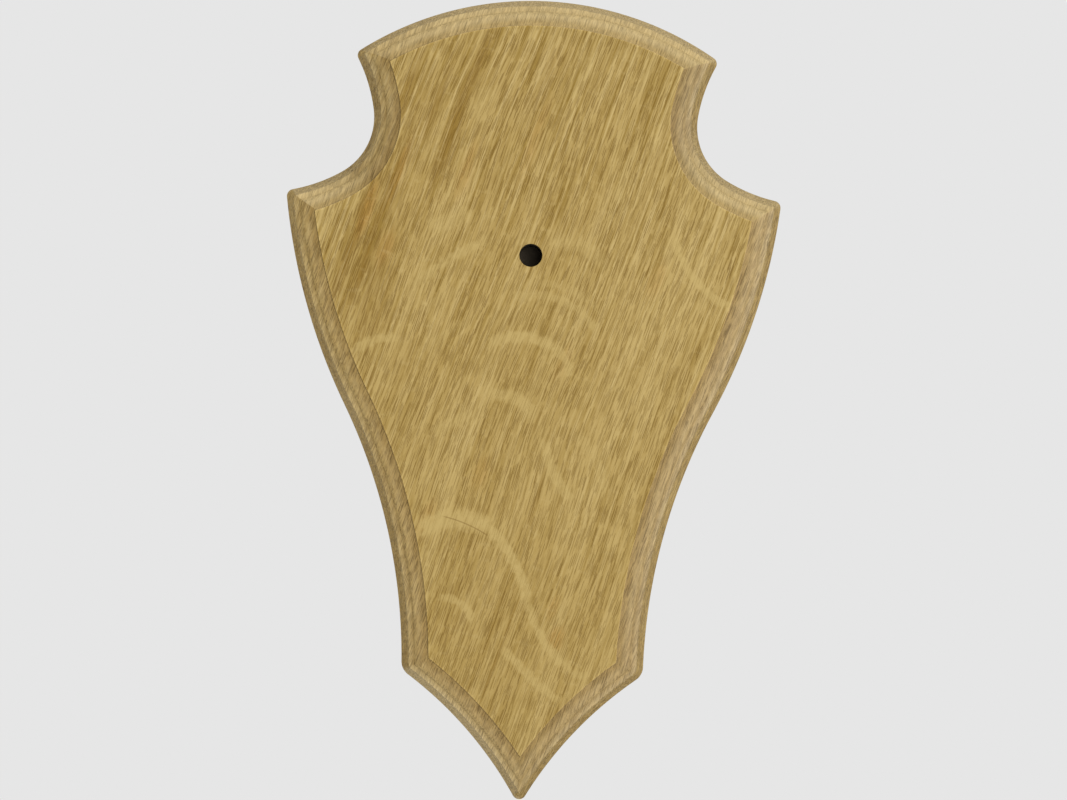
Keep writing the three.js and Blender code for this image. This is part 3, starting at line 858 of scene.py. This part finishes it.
# %% The hole's painted shade
dark_hole_wall = bpy.data.materials.new("hole_wall_shade")
dark_hole_wall.use_nodes = True
wall_tree = dark_hole_wall.node_tree
wall_noise = noise(wall_tree, node(wall_tree, "TexCoord", {}, "Object"), (900.0, 900.0, 900.0))
wall_colour = blend(wall_tree, wall_noise, (0.045, 0.036, 0.025, 1), (0.075, 0.060, 0.042, 1))
wall_tree.links.new(wall_colour, wall_tree.nodes["Principled BSDF"].inputs["Base Color"])
wall_tree.nodes["Principled BSDF"].inputs["Roughness"].default_value = 0.95
wall_tree.nodes["Principled BSDF"].inputs["Specular IOR Level"].default_value = 0.1
board_mesh.materials.append(oak)
board_mesh.materials.append(dark_hole_wall)
print("materials on the board:", [m.name for m in board_mesh.materials])

# %% [markdown]
# ## Fastening the board to the frame
# The fine board takes the place of the plain one, which stays in the simulation. It rides on the only
# body there is.

# %% Into the frame
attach(board, "root")
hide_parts("shield_board")
print("board is in the frame")

# %% [markdown]
# ## A pale studio
# The plaque was photographed on even pale grey under soft light that came mostly from the right. An even
# world gives the grey and the fill, one large lamp gives the side light, and a weaker one at the lower
# left keeps the edges there from going dark. A sun lamp would draw hard shadows that the photo hasn't got.
# The floor lies below the view, because the plaque hangs. The Standard view keeps colours as they are.

# %% The even world
GREY = ((230 / 255 + 0.055) / 1.055) ** 2.4
scene = bpy.context.scene
scene.view_settings.view_transform = "Standard"
world = bpy.data.worlds.new("pale_studio")
world.use_nodes = True
world.node_tree.nodes["Background"].inputs["Color"].default_value = (GREY, GREY, GREY, 1)
scene.world = world
print("world grey", round(GREY, 3))


# %% Lamps
def lamp(name, place, aim, size, watts):
    """A square soft lamp at a place, turned to face a point."""
    light = bpy.data.lights.new(name, "AREA")
    light.size, light.energy = size, watts
    made = bpy.data.objects.new(name, light)
    made.matrix_world = facing_matrix(place, aim, 0.0)
    made.visible_camera = False
    scene.collection.objects.link(made)
    return made


def facing_matrix(place, aim, roll):
    """Where a lamp or camera stands and how it is turned: it looks along -z of its own axes, so its z is
    unit(place - aim), its x is the level direction square to that, and roll turns both about z."""
    back = np.array(place, float) - np.array(aim, float)
    back /= np.linalg.norm(back)
    side = np.cross([0.0, 0.0, 1.0], back)
    side /= np.linalg.norm(side)
    up = np.cross(back, side)
    turned = np.eye(4)
    turned[:3, 0] = side * np.cos(roll) + up * np.sin(roll)
    turned[:3, 1] = up * np.cos(roll) - side * np.sin(roll)
    turned[:3, 2] = back
    turned[:3, 3] = place
    return turned.T


KEY_PLACE = (0.30, -1.12, 0.03)
lamp("key", KEY_PLACE, (0, 0, 0), 0.55, 9.0)
lamp("low fill", (-0.45, -0.65, -0.75), (0, 0, 0), 0.5, 3.0)

# %% The floor
FLOOR_Z = -0.14
floor_mesh = bpy.data.meshes.new("studio_floor")
floor_rim = 0.34 * np.exp(2j * np.pi * np.arange(96) / 96) - 0.14j
floor_mesh.from_pydata(np.stack([floor_rim.real, floor_rim.imag, np.full(96, FLOOR_Z)], 1).tolist(), [],
                       [list(range(96))])
floor = bpy.data.objects.new("studio_floor", floor_mesh)
scene.collection.objects.link(floor)
paper = bpy.data.materials.new("pale_paper")
paper.use_nodes = True
paper.node_tree.nodes["Principled BSDF"].inputs["Base Color"].default_value = (0.75, 0.75, 0.75, 1)
paper.node_tree.nodes["Principled BSDF"].inputs["Roughness"].default_value = 0.9
floor_mesh.materials.append(paper)
print("floor at", FLOOR_Z, "m")

# %% [markdown]
# ## The camera
# The photographer stood straight in front, about 70 cm away: near enough that the rim, which lies further
# back than the face, looks slightly smaller. The picture is turned by a degree and a half, so the tip
# hangs a little to the left. Turning the plaque instead would spoil its place in the frame.

# %% The camera
RIM_PLANE = -(THICKNESS - RIM_DROP)
VIEW_WIDTH = 281.8 * MM
DISTANCE = 680.0 * MM
camera_data = bpy.data.cameras.new("camera")
camera_data.sensor_width = 36.0
camera_data.lens = 36.0 * DISTANCE / VIEW_WIDTH
camera = bpy.data.objects.new("camera", camera_data)
scene.collection.objects.link(camera)
VIEW_MIDDLE = 1.24 * MM
camera.matrix_world = facing_matrix((VIEW_MIDDLE, RIM_PLANE - DISTANCE, 0.0), (VIEW_MIDDLE, RIM_PLANE, 0.0),
                                    np.radians(1.42))
scene.camera = camera
print("lens", round(camera_data.lens, 1), "mm")
